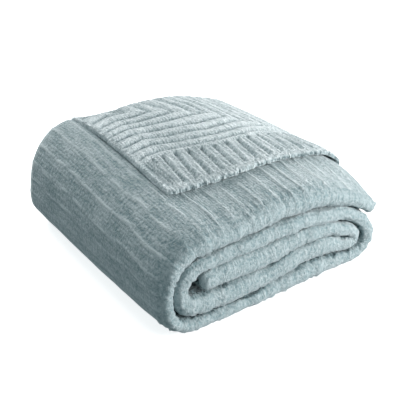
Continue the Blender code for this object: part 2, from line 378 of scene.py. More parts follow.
# %% [markdown]
# ## The rolled layers: the grid
# One row of the grid crosses the stack of four layers: over the outermost layer from the back to the
# front, round the front fold, and back and forth through the rest. The rows follow the spiral, and
# stand closer on the outside, where the smooth side of the knit shows the ribs behind it as faint
# ridges. Each ridge gets a few rows of its own. The front fold is squarish where two turns of the roll
# press on each other. On the outside its upper half is drawn out, so that the left wall and the top
# turn in softly.

# %% The rolled layers: sizes
OUTER_STEP, INNER_STEP = 0.002, 0.008  # how far the outermost and innermost layers stop short
HINGE_Y = -0.079  # from here to the back, the outer layer is turned back
OUTSIDE = 0.68  # length of cloth on the outside of the bundle
INSIDE_ROW, OUTSIDE_ROW = 0.0042, 0.0034  # distance from row to row, inside and there
LIP_ROWS = 6  # rows over each rounded end
EASE_AT = (0.0, 0.03, 0.18, 0.26, 0.40, 0.50, 0.66)  # distance from the roll's outer end
EASE = (1.0, 1.9, 2.0, 3.6, 3.6, 1.5, 1.0)  # how many times longer than high the fold is
# Columns, in the order in which a row passes them
LYING, TO_FOLD, ROUND_FOLD = 36, 9, 16  # the outermost layer to the hinge, to the fold, round it
LOWER, ROUND_INNER, INNER = 5, 5, 3  # the lowest layer, an inner fold, an inner layer
FOLD_START = LYING + TO_FOLD
FOLD_END = FOLD_START + ROUND_FOLD
FIRST_INNER = FOLD_END + LOWER
# Columns in the front fold: where the ridges stop rising and stop being painted pale as a highlight,
# where the painted shade of the nip starts, where the fold may be slimmer, and where the painted shade
# of the inner layers starts
RELIEF_END, HIGHLIGHT_END, NIP_START = FOLD_START + 7, FOLD_START + 3, FOLD_START + 2
SLIM_START, INNER_SHADE_START = FOLD_START + 4, FOLD_END - 1
# The faint ridges: distance from the roll's outer end and height, millimetres
RIDGES = ((27, 0.7), (45, 0.9), (62, 0.6), (78, 1.0), (97, 0.9), (113, 0.9), (130, 1.0), (146, 0.7),
          (165, 0.8), (186, 1.0), (203, 0.9), (225, 1.0), (248, 0.9), (268, 0.8), (287, 1.1), (304, 0.6),
          (321, 0.5), (339, 0.4), (357, 0.4), (375, 0.5), (393, 0.6), (560, 0.5), (577, 0.6), (595, 0.6),
          (612, 0.6), (630, 0.5), (647, 0.5))
RIDGE_ROWS = (-0.0022, -0.0011, 0.0, 0.0011, 0.0022)  # rows across each ridge
RIDGE_GAP = 0.0008  # least distance from them to the next row


def lip(distance_to_end, closed):
    """Share of the full offset near an end of the roll: an ellipse that closes to the share closed."""
    q = np.clip(1 - distance_to_end / END_ROUND, 0, 1)
    return np.sqrt(1 - q**2 * (1 - closed**2))


def stack(pitch, share, sway, ease):
    """Y and offset of the four layers, outermost first: straight layers joined by rounded folds.

    sway moves the front fold in or out, and ease is how many times longer than high its outer half is.
    """
    front, back = (CLOTH - DEPTH) / 2, (DEPTH - CLOTH) / 2
    centre = front + 1.5 * pitch + sway
    outer = np.linspace(np.pi / 2, -np.pi / 2, ROUND_FOLD + 1)[1:]
    inner = np.linspace(-np.pi / 2, np.pi / 2, ROUND_INNER + 1)[1:]
    wide, narrow = 1.5 * pitch * share, 0.5 * pitch
    reach = np.maximum(np.cos(outer), 0)
    y = np.concatenate([
        np.linspace(back - OUTER_STEP, HINGE_Y, LYING),
        np.linspace(HINGE_Y, centre - wide + wide * ease, TO_FOLD + 1)[1:],
        np.where(outer > 0, centre - wide + wide * ease * (1 - reach),
                 centre - wide * reach ** FRONT_POWER),
        np.linspace(centre, back - narrow, LOWER + 1)[1:],
        back - narrow + narrow * np.cos(inner),
        np.linspace(back - narrow, centre, INNER + 1)[1:],
        centre - narrow * np.cos(inner),
        np.linspace(centre, back - INNER_STEP, INNER + 1)[1:],
    ])
    offset = np.concatenate([
        np.full(FOLD_START, wide),
        wide * np.sign(outer) * np.abs(np.sin(outer)) ** FRONT_POWER,
        np.full(LOWER, -wide),
        -pitch + narrow * np.sin(inner),
        np.full(INNER, -narrow),
        narrow * np.sin(inner),
        np.full(INNER, narrow),
    ])
    return y, offset


def roll_rows():
    """Distances of the grid's rows: coarse inside, finer outside, and a few more at each ridge."""
    ends = np.linspace(0, END_ROUND, LIP_ROWS)
    inside = np.arange(END_STEP, roll.length - OUTSIDE, INSIDE_ROW)
    outside = np.arange(roll.length - OUTSIDE, roll.length - END_STEP, OUTSIDE_ROW)
    centres = roll.length - np.array([ridge[0] for ridge in RIDGES]) * MM
    crests = (centres[:, None] + np.array(RIDGE_ROWS)).ravel()
    clear = np.abs(outside[:, None] - centres).min(axis=1) > RIDGE_ROWS[-1] + RIDGE_GAP
    rows = np.concatenate([ends, [END_STEP], inside[1:], outside[clear], crests,
                           [roll.length - END_STEP], roll.length - ends[::-1]])
    return np.unique(np.round(rows, 6))


print("the grid has", len(roll_rows()), "rows")

# %% [markdown]
# ## The rolled layers: the surface
# The grid is bent into the spiral by one sum: the place on the roll, plus the layer's offset along the
# normal. Unevenness then comes in small amounts, each with its own wavelength: the front fold sways
# and is slimmer in places, the rows drift, the outer layer puffs, and the fold is lumpy. The crest
# values paint light and shade: a painted highlight on the faint ridges, and painted shade in the nips,
# where two turns of the roll meet, and on the inner layers.

# %% The rolled layers: how uneven they are
FOLD_SWAY = Wave(0.0010, 0.05, seed=3)  # the front fold, in and out
FINE_SWAY = Wave(0.0005, 0.016, seed=4)
ROW_DRIFT = Wave(0.0016, 0.09, seed=5)  # the rows, along the roll
DRIFT_ENDS = (0.002, 0.02)  # distance from the roll's ends over which it sets in
DRIFT_DEPTH = (-0.3, 0.1)  # -y over which it grows towards the front
BREATH = Wave(1.0, 0.03, seed=6)  # where the front fold is slimmer
BREATH_OFTEN, SLIMMER = 0.3, 0.11  # how often, and by which share
PUFFS = Wave(0.00025, 0.02, seed=13)  # the outer layer, out and in
PUFF_LONG = 0.4  # less than 1 draws the puffs out along y
LUMPS = Wave(0.0009, 0.008, seed=21)  # the lumps of the front fold
LUMP_SHORT = 1.6  # more than 1 shortens them round the fold
RIDGE_GAIN, RIDGE_WIDTH = 1.35, 0.0013  # factor on the ridges' heights, and half width
RIDGE_FRONT = (-0.164, -0.136)  # y over which they set in behind the front fold
RIDGE_FADE = Wave(0.6, 0.035, seed=8)  # how they come and go along their length
RIDGE_USUAL, RIDGE_SHOWN = 0.8, (0.05, 1.1)
RIDGE_APART = 4  # more than 1 lets neighbours fade on their own
# Painted highlight: the ridges are painted paler by their height, through the crest.
RIDGE_HIGHLIGHT_HEIGHT = 0.0007  # ridge height that adds one to the crest
# Painted shade in the nips and on the inner layers, through the crest.
NIP = (0.80, 1.0)  # share of the half height over which a nip darkens
NIP_FADE = Wave(0.9, 0.017, seed=51)  # and how that changes along the roll
NIP_USUAL, NIP_MOST, NIP_SHADE, INNER_SHADE = 0.55, 1.4, 1.15, 1.3


def layer_places(rows):
    """Y and offset of every point of the grid, row by row."""
    pitch = (roll.thick(rows) - CLOTH) / 3
    closed = (CLOTH + AIR) / (3 * pitch)
    share = lip(np.minimum(rows, roll.length - rows), closed)
    sway = FOLD_SWAY.at(rows) + FINE_SWAY.at(rows)
    ease = np.interp(roll.length - rows, EASE_AT, EASE)
    return np.stack([stack(*row) for row in zip(pitch, share, sway, ease)], axis=1)


def ridge_relief(from_end, y):
    """Height of the faint ridges: a bell across each, times how much of it shows there."""
    raised = np.zeros_like(y)
    for place, height in RIDGES:
        raised += RIDGE_GAIN * height * MM * bump_at(from_end - place * MM, RIDGE_WIDTH)
    shown = ramp(y, *RIDGE_FRONT) * (RIDGE_USUAL + RIDGE_FADE.at(from_end * RIDGE_APART, y))
    return raised * np.clip(shown, *RIDGE_SHOWN)


def roll_painted_shading(raised, offset, s, column):
    """Crest, the painted light and shade: plain, more on the ridges as a painted highlight, less in the
    nips as painted shade, where the offset is nearly the whole half height, and least on the inner
    layers, their painted shade."""
    nip = ramp(np.abs(offset) / offset[:, :1], *NIP)
    nip = nip * np.clip(NIP_USUAL + NIP_FADE.at(s), 0, NIP_MOST)
    painted_shading = NEUTRAL_SHADING + np.where(column < HIGHLIGHT_END, raised / RIDGE_HIGHLIGHT_HEIGHT, 0)
    painted_shading -= np.where((column >= NIP_START) & (column <= FOLD_END), NIP_SHADE * nip, 0)
    return painted_shading - np.where(column >= INNER_SHADE_START, INNER_SHADE, 0)


print("the front fold sways", FOLD_SWAY.size / MM, "mm, and the rows drift", ROW_DRIFT.size / MM, "mm")

# %% The rolled layers: the surface
def rolled_layers():
    """Points, faces, flat places, reliefs and crest of the rolled cloth."""
    rows = roll_rows()
    y, offset = layer_places(rows)
    column = np.arange(y.shape[1])
    step = np.hypot(np.diff(y), np.diff(offset))
    across = np.concatenate([np.zeros((len(rows), 1)), np.cumsum(step, axis=1)], axis=1)
    off_ends = ramp(np.minimum(rows, roll.length - rows), *DRIFT_ENDS)[:, None]
    drift = ROW_DRIFT.at(rows[:, None], y) * off_ends * ramp(-y, *DRIFT_DEPTH)
    s = rows[:, None] + np.where(column < FOLD_END, drift, 0)
    slim = 1 - SLIMMER * np.clip(BREATH.at(s) + BREATH_OFTEN, 0, 1)
    in_fold = (column >= SLIM_START) & (column < INNER_SHADE_START)
    xz = roll.place(s, np.where(in_fold, offset * slim, offset))
    points = settle(np.stack([xz[..., 0], y, xz[..., 1]], axis=-1))

    raised = ridge_relief(roll.length - rows[:, None], y)
    face = CLOTH / 2 + np.where(column < RELIEF_END, raised + PUFFS.at(s, y * PUFF_LONG), 0)
    on_fold = (column >= FOLD_START) & (column < FOLD_END)
    face += np.where(on_fold, LUMPS.at(s, across * LUMP_SHORT), 0)

    faces = grid_faces(*y.shape)
    between_rows = (rows[:-1] + rows[1:]) / 2
    at_end = np.minimum(between_rows, roll.length - between_rows) < END_STEP
    keep = np.ones(faces.shape[:2], bool)
    keep[at_end, FIRST_INNER:] = False
    used, faces = np.unique(faces[keep], return_inverse=True)
    flat = np.stack([s, across], axis=-1).reshape(-1, 2)
    painted_shading = roll_painted_shading(raised, offset, s, column)
    return (points.reshape(-1, 3)[used], faces.reshape(-1, 4), flat[used], face.ravel()[used],
            np.full(len(used), CLOTH / 2), painted_shading.ravel()[used])


throw_roll = cloth("throw_roll", *rolled_layers())

# %% [markdown]
# ## The turned-back part: its outline
# The outermost layer runs on past the end of the roll, folds back over the top, and ends on the left
# shoulder at the throw's own edge. Its near edge is the hem. Both edges wander a little, so each is a
# short table of places. The side edge is scalloped by its beads, closes down on the roll, and is
# pressed flatter at the back.

# %% The turned-back part: outline
HEM_X = MM * np.array((-90, -50, 0, 50, 100, 150))  # from the free corner to the right
HEM_Y = MM * np.array((-76, -82, -88, -86, -84, -79))
HEM_WANDER = Wave(0.0013, 0.008, seed=31)
SELVEDGE_X = -73 * MM
SELVEDGE_Y = MM * np.array((-80, -40, 0, 160))
SELVEDGE_REACH = MM * np.array((14, 13, 12, 15))  # how far it goes past SELVEDGE_X down the shoulder
CORNER = 0.009  # radius of the free corner
CURL = 0.001  # how much further the edge reaches as it curls down
SCALLOP = 0.0007  # how far its beads stand out from the side edge
BEAD_PITCH = 4.4  # millimetres from bead to bead: one for each knitted row
CLOSE, CLOSE_OVER = 0.0017, 0.006  # how far the side edge closes down, over what distance
PRESS = 0.0028  # how much lower it lies at the back
PRESS_DEPTH, PRESS_SIDE = (0.07, 0.15), (0.06, 0.01)  # y, and distance from the edge, over which
LAST_RUN = 0.23  # length of the roll that the part lies on
TURN_ROWS = 14  # rows round the turn-back
LYING_ROWS = 205
ACROSS_COLUMNS = 220


def half_stack(s):
    """Half the height of the four layers, from middle surface to middle surface."""
    return 1.5 * (roll.thick(s) - CLOTH) / 3


def turned_back_middle():
    """Middle surface of the turned-back part, and each point's distance from the hem and side edge.

    A point is roll(s) + offset * normal(s). Round the turn, s and offset go along a half circle, and
    after it the offset is one layer of cloth more than the stack's.
    """
    back = (DEPTH - CLOTH) / 2 - OUTER_STEP
    width = np.linspace(0, 1, ACROSS_COLUMNS)
    start_y = back + (HINGE_Y - back) * width
    start = (CLOTH + AIR) / 2
    radius = (half_stack(roll.length) + CLOTH + TURNED_AIR + SPRING - start) / 2
    turn = np.linspace(-np.pi / 2, np.pi / 2, TURN_ROWS + 1)
    top = roll.distance > roll.length - LAST_RUN
    edge = np.interp(SELVEDGE_X, roll.line[top, 0], roll.distance[top])
    reach = np.interp(start_y, SELVEDGE_Y, SELVEDGE_REACH) + CURL
    reach += SCALLOP * np.cos(2 * np.pi * start_y / (BEAD_PITCH * MM))
    along = np.linspace(0, 1, LYING_ROWS + 1)[1:, None]
    round_turn = np.repeat(roll.length + radius * np.cos(turn)[:, None], ACROSS_COLUMNS, 1)
    s = np.concatenate([round_turn, roll.length + (edge - reach - roll.length) * along])
    from_edge = s - s[-1:]
    sprung = SPRING * bump_at(np.maximum(roll.length - s, 0), SPRING_REACH)
    offset = half_stack(s) + CLOTH + TURNED_AIR + sprung
    offset -= CLOSE * ramp(from_edge, CLOSE_OVER, 0.0)
    offset -= PRESS * ramp(start_y, *PRESS_DEPTH) * ramp(from_edge, *PRESS_SIDE)
    offset[:TURN_ROWS + 1] = (start + radius + radius * np.sin(turn))[:, None]
    xz = roll.place(s, offset)
    hem = np.interp(xz[:, -1, 0], HEM_X, HEM_Y) + HEM_WANDER.at(xz[:, -1, 0])
    corner = np.clip(1 - from_edge[:, -1] / CORNER, 0, 1)
    hem += CORNER * (1 - np.sqrt(1 - corner**2))
    y = back + (hem[:, None] - back) * width
    middle = settle(np.stack([xz[..., 0], y, xz[..., 1]], axis=-1))
    return middle, y - hem[:, None], from_edge, s


middle, from_hem, from_edge, turned_s = turned_back_middle()
print("turned back:", round(from_edge.max(), 3), "m by", round(from_hem.max(), 3), "m")

# %% [markdown]
# ## The turned-back part: its ribs
# The ribbed face has three areas. Next to the hem is a border of short upright ribs, each of two cords,
# with beaded cords instead by the free corner. Behind it, wide soft wales run along the roll, and past
# a slanting line they turn a corner and run from front to back. The knit sinks in a narrow valley
# between each two wales. The valleys are drawn as lines through a few stations, since no two
# are alike, and a wale is the rounded height between two valleys.

# %% The ribs: listed lines, millimetres
VALLEY_X = (-92, -80, -66, -46, -20, 4, 30, 54, 80, 110, 150)
VALLEYS = (
    (-10, -2, 4, 5, -3, -12, -15, -14, -8, -3, -2),
    (8, 16, 21, 25, 14, 5, 1, 3, 10, 17, 18),
    (24, 33, 37, 43, 32, 26, 19, 22, 31, 38, 40),
    (40, 49, 55, 60, 53, 46, 40, 43, 50, 56, 58),
    (54, 63, 70, 77, 73, 66, 68, 68, 70, 75, 78),
    (67, 76, 83, 92, 89, 87, 88, 88, 90, 94, 96),
    (80, 89, 98, 108, 107, 108, 108, 108, 108, 110, 112),
    (97, 106, 118, 131, 129, 128, 127, 126, 126, 127, 128),
    (124, 134, 144, 152, 150, 149, 148, 147, 147, 148, 149),
    (146, 156, 164, 170, 169, 168, 168, 168, 168, 168, 168),
)
FAR_VALLEY_Y = (20, 50, 80, 100, 120, 160)
FAR_VALLEYS = (
    (-18, -18, -18, -18, -17, -14),
    (6, 6, 6, 6, 3, -2),
    (28, 28, 28, 26, 20, 12),
    (47, 47, 47, 47, 43, 36),
    (60, 61, 60, 60, 57, 51),
    (77, 77, 75, 75, 71, 65),
    (92, 91, 91, 89, 86, 81),
    (107, 105, 104, 103, 100, 97),
    (121, 119, 118, 117, 115, 112),
    (135, 133, 132, 131, 129, 127),
    (149, 147, 146, 145, 143, 141),
)
MITRE_X = (-40, -19, 4, 25, 56, 74, 90, 150)
MITRE_Y = (143, 126, 105, 87, 68, 50, 38, -6)
TROUGH_X = (-87, -72, -57, -41.5, -25, -9, 6, 22.5, 39, 56, 74, 89.5, 104.5, 119.5, 134, 147, 160)
TROUGH_LEAN = (-6, -7, -7, -8, -7, -6, -6, -7, -8, -4, -3, -5, -3, -2, 0, 0, 0)
TROUGH_Y = -45
LEAN_OVER = 40  # the lean of a trough is over this much y

print(len(VALLEYS), "valleys along the roll,", len(FAR_VALLEYS), "across it,", len(TROUGH_X), "troughs")

# %% The ribs: heights and widths, millimetres
WALE_HEIGHT, RIB_HEIGHT = 4.8, 4.0
VALLEY_DEPTH = 1.3  # how far the valleys sink below the cloth's plain height
WALE_FLAT, WALE_STEEP = 2.2, 0.58  # powers of a wale's arch
MITRE_SOFT = 2.0  # distance from the slanting line over which the wales turn
RIB_FLANK = (0.43, 0.27)  # distance from a rib's middle, as a share of its width, over which it rises
CORD_DIP, DIP_WIDTH = 1.1, 0.09  # the dip between a rib's two cords
DEEPER, DEEPER_X = 1.4, (-52, -72)  # how much deeper it is by the free corner
CORNER_REACH = (24, 16)  # distance from the side edge over which the beaded cords begin
CORD_PITCH, CORD_FIRST, CORD_ROUND = 4.8, 4, 0.7
BEADED_HEIGHT, BEADED_SUNK, BEAD_LEAST = 4.2, 0.6, 0.3
BEADED_DRIFT = Wave(1.3, 7, seed=48)
BAND, BAND_SOFT = 12.5, 5  # the plain band at the hem, and how softly it begins
BAND_HEIGHT = 0.75  # as a share of a rib's
BAND_PUFFS = Wave(0.5, 4.5, seed=47)
WELT_PLACE, WELT_HALF = 5.5, 6.0  # the rounded welt before the first valley, and half its width
WELT_HEIGHT = 0.92  # as a share of a wale's
WELT_FOOT = (-3.0, -6.5)  # distance from the welt's middle over which the border takes over


def between(lines, value):
    """Place of a value between the sorted lines: whole part the line before it, fraction the way across."""
    below = np.zeros_like(value)
    for low, high in zip(lines[:-1], lines[1:]):
        below += np.clip((value - low) / np.maximum(high - low, TINY), 0, 1)
    return below


def puff(share):
    """Rounded height of a wale: a flattened arch, one in the middle and zero at both valleys."""
    arch = np.clip(1 - np.abs(2 * share - 1) ** WALE_FLAT, 0, 1)
    return arch ** WALE_STEEP


def pearls(distance, pitch):
    """A row of rounded beads: a cosine wave, one in a bead's middle and zero between two."""
    return 0.5 + 0.5 * np.cos(2 * np.pi * distance / pitch)


print("a wale's height a tenth of the way across:", round(WALE_HEIGHT * puff(0.1), 1), "mm")

# %% The ribs: the relief
def wale_relief(x, y):
    """Wales: arches between the valleys along the roll, turning to those from front to back."""
    near = puff(between([np.interp(x, VALLEY_X, row) for row in VALLEYS], y) % 1)
    far = puff(between([np.interp(y, FAR_VALLEY_Y, row) for row in FAR_VALLEYS], x) % 1)
    turned = ramp(y - np.interp(x, MITRE_X, MITRE_Y), -MITRE_SOFT, MITRE_SOFT)
    return WALE_HEIGHT * (near * (1 - turned) + far * turned) - VALLEY_DEPTH


def border_relief(x, y, from_hem, from_edge):
    """Border: ribs with a dip along the middle, beaded cords by the free corner, a band at the hem."""
    lean = (y - TROUGH_Y) / -LEAN_OVER
    rib = between([place + slant * lean for place, slant in zip(TROUGH_X, TROUGH_LEAN)], x) % 1
    raised = ramp(np.abs(rib - 0.5), *RIB_FLANK)
    dip = CORD_DIP * (1 + DEEPER * ramp(x, *DEEPER_X)) * bump_at(rib - 0.5, DIP_WIDTH) * raised
    border = RIB_HEIGHT * raised - dip - VALLEY_DEPTH
    cord = pearls(from_edge - CORD_FIRST, CORD_PITCH) ** CORD_ROUND
    bead = pearls(y + BEADED_DRIFT.at(x, y), BEAD_PITCH)
    beaded = BEADED_HEIGHT * cord * (BEAD_LEAST + (1 - BEAD_LEAST) * bead) - BEADED_SUNK
    by_corner = ramp(from_edge, *CORNER_REACH)
    border = border * (1 - by_corner) + beaded * by_corner
    band = RIB_HEIGHT * BAND_HEIGHT - VALLEY_DEPTH + BAND_PUFFS.at(x, y)
    on_band = ramp(from_hem, BAND + BAND_SOFT / 2, BAND - BAND_SOFT / 2)
    return border * (1 - on_band) + band * on_band


def rib_relief(x, y, from_hem, from_edge):
    """Height of the ribbed face above the plain cloth: wales, then a half-round welt, then the border."""
    first_valley = np.interp(x, VALLEY_X, VALLEYS[0])
    off_welt = y - (first_valley - WELT_PLACE)
    round_welt = np.sqrt(np.clip(1 - (off_welt / WELT_HALF)**2, 0, 1))
    welt = WALE_HEIGHT * WELT_HEIGHT * round_welt - VALLEY_DEPTH
    relief = np.where(y > first_valley, wale_relief(x, y), welt)
    in_border = ramp(off_welt, *WELT_FOOT)
    return relief * (1 - in_border) + border_relief(x, y, from_hem, from_edge) * in_border


rib_x = (middle[..., 0] + CENTRE[0]) / MM
rib_y = (middle[..., 1] + CENTRE[1]) / MM
relief = rib_relief(rib_x, rib_y, from_hem / MM, from_edge / MM)
print("rib relief from", round(relief.min(), 2), "to", round(relief.max(), 2), "mm")

# %% [markdown]
# ## The turned-back part: its edges
# The free edges get their own finish. The side edge is a beaded cord, one bead for each knitted row,
# with a painted highlight on it. The hem has low beads and a painted shadow line where it turns under.
# Both edges are rounded off, because a pile has no sharp corner. A bevel would round them too, but it
# can't follow the beads.

# %% The edges and the mesh of the turned-back part, millimetres
CORD_PLACE, CORD_WIDE = 3.6, 1.8  # the beaded cord along the side edge
EDGE_WIDE = (6.0, 4.0)  # distance from the edge over which it begins
CORD_BASE, CORD_HEIGHT, CORD_LEAST = 0.5, 2.2, 0.2
EDGE_DRIFT = Wave(1.2, 9, seed=41)
LOW_BY_EDGE, LOW_OVER = 0.5, (3, 16)  # the ribs' height by the side edge, and over what distance
HEM_BEADS, HEM_BEAD_PITCH = 0.7, 1.3  # height of the hem's beads, and pitch against the edge's
HEM_BEAD_PLACE, HEM_BEAD_WIDE, HEM_BEAD_EVEN = 2.2, 2.4, 0.4
HEM_DRIFT = Wave(1.5, 11, seed=43)
TUFTS = Wave(0.28, 3.2, seed=44)  # the pile, all over
OFF_TURN = (-0.001, 0.012)  # metres from the turn over which the relief sets in
OFF_BACK, BACK_SHARE = (0, 10), 0.3  # distance from the back over which it does, and from what
SIDE_ROUND, HEM_ROUND = 2.6, 4.5  # distance from each edge over which the cloth rounds off
FACE_LEAST, BACK_LEAST = 0.2, 0.7  # thickness left at the edge, as a share
# Painted light and shade on the ribbed face: the most highlight on the ribs, the highlight of the side
# edge's cord and its beads, and the painted shadow along the hem.
HIGHLIGHT_MOST = 1.2
CORD_HIGHLIGHT, BEAD_HIGHLIGHT = 0.8, 0.7
HEM_SHADOW_OVER, HEM_SHADOW = (1.8, 0.2), 0.9  # distance from the hem over which it darkens, and how much


def turned_back():
    """Points, faces, flat places, reliefs and crest of the turned-back part."""
    edge_mm, hem_mm = from_edge / MM, from_hem / MM
    beads = pearls(rib_y + EDGE_DRIFT.at(rib_y), BEAD_PITCH)
    cord = bump_at(edge_mm - CORD_PLACE, CORD_WIDE)
    along_edge = ramp(edge_mm, *EDGE_WIDE)
    edge = CORD_BASE + CORD_HEIGHT * cord * (CORD_LEAST + (1 - CORD_LEAST) * beads)
    low = LOW_BY_EDGE + (1 - LOW_BY_EDGE) * ramp(edge_mm, *LOW_OVER)
    height = relief * low * (1 - along_edge) + edge * along_edge
    hem_beads = pearls(rib_x + HEM_DRIFT.at(rib_x), BEAD_PITCH * HEM_BEAD_PITCH) - HEM_BEAD_EVEN
    height += HEM_BEADS * bump_at(hem_mm - HEM_BEAD_PLACE, HEM_BEAD_WIDE) * hem_beads * (1 - along_edge)
    height += TUFTS.at(rib_x, rib_y)
    from_back = (middle[:, :1, 1] - middle[..., 1]) / MM
    height = height * ramp(roll.length - turned_s, *OFF_TURN)
    height = height * (BACK_SHARE + (1 - BACK_SHARE) * ramp(from_back, *OFF_BACK))

    past_side = 1 - np.clip(edge_mm / SIDE_ROUND, 0, 1)
    past_hem = 1 - np.clip(hem_mm / HEM_ROUND, 0, 1)
    rounded = np.sqrt(np.clip(1 - np.maximum(past_side, past_hem)**2, 0, 1))
    face = (CLOTH / 2 + height * MM) * (FACE_LEAST + (1 - FACE_LEAST) * rounded)
    back = CLOTH / 2 * (BACK_LEAST + (1 - BACK_LEAST) * rounded)
    # Painted light and shade: paler on the ribs' tops and darker in their valleys, a painted highlight on
    # the side edge's cord and beads, and a painted shadow line at the hem.
    painted_shading = np.clip((height + VALLEY_DEPTH) / WALE_HEIGHT, 0, HIGHLIGHT_MOST)
    painted_shading = painted_shading * (1 - along_edge) + (CORD_HIGHLIGHT + BEAD_HIGHLIGHT * cord * beads) * along_edge
    painted_shading -= HEM_SHADOW * ramp(hem_mm, *HEM_SHADOW_OVER) * (1 - along_edge)

    faces = grid_faces(*rib_x.shape)[:, :, ::-1].reshape(-1, 4)
    flat = np.stack([2 * roll.length - turned_s, middle[..., 1]], axis=-1)
    return middle.reshape(-1, 3), faces, flat.reshape(-1, 2), face.ravel(), back.ravel(), painted_shading.ravel()


throw_turned_back = cloth("throw_turned_back", *turned_back())

# %% [markdown]
# ## Shader maths as expressions
# A node tree is hard to read as a list of links. This small class wraps a socket, so that an
# expression such as 1 - mask * 0.5 adds the Math nodes that it needs. Every other kind of node comes
# from one method, which sets its settings first and its sockets after.

# %% The shader class
def operator(operation, reflected=False):
    """A method that adds a Math node. In the reflected form, as in 1 - mask, its values are swapped."""
    def method(self, other=0.0):
        first, second = (other, self) if reflected else (self, other)
        return self.node("Math", settings={"operation": operation}, _0=first, _1=second)
    return method


class Value:
    """One socket of a node tree. Arithmetic on it adds Math nodes."""

    def __init__(self, tree, socket=None):
        self.tree, self.socket = tree, socket

    def node(self, kind, output=0, settings=None, **inputs):
        """Add a node of this kind, set its settings, then its inputs by name, and wrap an output.

        An input's name has _ for each space, and _0 is the first input."""
        made = self.tree.nodes.new("ShaderNode" + kind)
        for name, value in (settings or {}).items():
            setattr(made, name, value)
        for name, value in inputs.items():
            key = int(name[1:]) if name[0] == "_" else name.replace("_", " ")
            self.put(made.inputs[key], value)
        return Value(self.tree, made.outputs[output])

    def put(self, socket, value):
        """Link a wrapped socket, or set a plain value."""
        if isinstance(value, Value):
            self.tree.links.new(value.socket, socket)
        else:
            socket.default_value = value

    __add__ = __radd__ = operator("ADD")
    __mul__ = __rmul__ = operator("MULTIPLY")
    __sub__, __rsub__ = operator("SUBTRACT"), operator("SUBTRACT", reflected=True)
    __truediv__, __rtruediv__ = operator("DIVIDE"), operator("DIVIDE", reflected=True)
    floor, fraction = operator("FLOOR"), operator("FRACT")

    def clamp(self):
        return self.node("Clamp", Value=self)

    def arch(self):
        """A fraction from 0 to 1 turned into a round arch, one in the middle."""
        return self * (1.0 - self) * 4.0

    def step(self, low, high):
        """A soft step of this value from 0 at low to 1 at high."""
        return self.node("MapRange", settings={"interpolation_type": "SMOOTHSTEP"},
                         Value=self, From_Min=low, From_Max=high)


# %% [markdown]
# ## The chenille
# Chenille yarn is a soft furry cord. Knitted, it shows as rows of small rounded nubs under a short
# velvety pile. Each nub is painted paler on its top and darker between the nubs, a painted sheen and
# shade. The pattern is laid on the flat cloth, so it follows every fold. The place is divided into rows
# and stitches, each stitch gets an arched nub and a chance of its own, and a slow noise sways the rows.
# Noises add patches, lumps, pile and streaks. The mesh's crest attribute is painted light and shade: it
# pales the ribs as a painted highlight and darkens the nips as painted shade, where the lowest lumps
# become near-black pits of painted shade. At the front fold the pile is pressed, so the pattern is calmer.
# An image texture would be simpler, but it would repeat, and wouldn't know where the ribs are.

# %% The chenille: its parts
Knit = namedtuple("Knit", "row stitch nub_height stitch_share deep pale")
SMOOTH = Knit(row=0.0031, stitch=0.0027, nub_height=0.0010, stitch_share=0.75,
              deep=(0.22, 0.31, 0.33), pale=(0.57, 0.645, 0.66))
# The ribbed side's colours are paler than the smooth side's: partly that face's own look, partly a painted
# highlight, as the turned-back part lies on top in the light.
RIBBED = Knit(row=0.0036, stitch=0.0034, nub_height=0.0015, stitch_share=0.6,
              deep=(0.37, 0.46, 0.48), pale=(0.80, 0.875, 0.89))
# Painted shade: the near-black colour of the darkest nips, the crest and lump levels below which it starts,
# and how strongly.
PIT_SHADE_COLOUR = (0.05, 0.085, 0.095)
PIT_SHADE_LEVEL, PIT_SHADE_LUMP, PIT_SHADE_GAIN = 0.3, (0.56, 0.42), 1.3
ROW_SWAY = (0.0045, 0.0060, 0.0)  # how far the slow noise moves rows and stitches
FOLD_ACROSS = (0.28, 0.31)  # place across the cloth over which the front fold begins
CALM_NUBS, CALM_LUMPS = 0.6, 0.25  # how much calmer the nubs and the lumps are there
STREAKS = (1.0, 0.12, 1.0)  # less than 1 draws a noise out across the cloth
# How much each part adds to the bump and to the tone from deep to pale
Share = namedtuple("Share", "nub chance pile lumps streaks patches")
BUMP = Share(nub=0.2, chance=0.5, pile=0.7, lumps=2.2, streaks=1.3, patches=0.8)
# In the tone, the nubs' share paints their tops paler and the gaps between them darker: a painted sheen and
# shade.
TONE = Share(nub=0.2, chance=0.15, pile=1.4, lumps=2.1, streaks=1.6, patches=0.6)
# The crest's share of the tone is painted light and shade.
PLAIN_TONE, SHADING_TONE = 0.24, 0.6
PILE_ROUGHNESS, NUB_GLOSS = 0.96, 0.08
YARN = {"Specular IOR Level": 0.15, "Sheen Weight": 0.35, "Sheen Roughness": 0.45,
        "Sheen Tint": (0.95, 0.98, 1.0, 1.0)}


def new_material(name, constants):
    """A material and its shader, with the constants set on the shader's own sockets."""
    material = bpy.data.materials.new(name)
    material.use_nodes = True
    shader = material.node_tree.nodes["Principled BSDF"]
    for socket, value in constants.items():
        shader.inputs[socket].default_value = value
    return material, shader


def mix(make, share, first, second):
    """The first colour, turned into the second by a share of it."""
    return make.node("Mix", output=2, settings={"data_type": "RGBA"}, _0=share, _6=first, _7=second)


def noise(make, place, scale, detail, roughness):
    return make.node("TexNoise", Vector=place, Scale=scale, Detail=detail, Roughness=roughness)


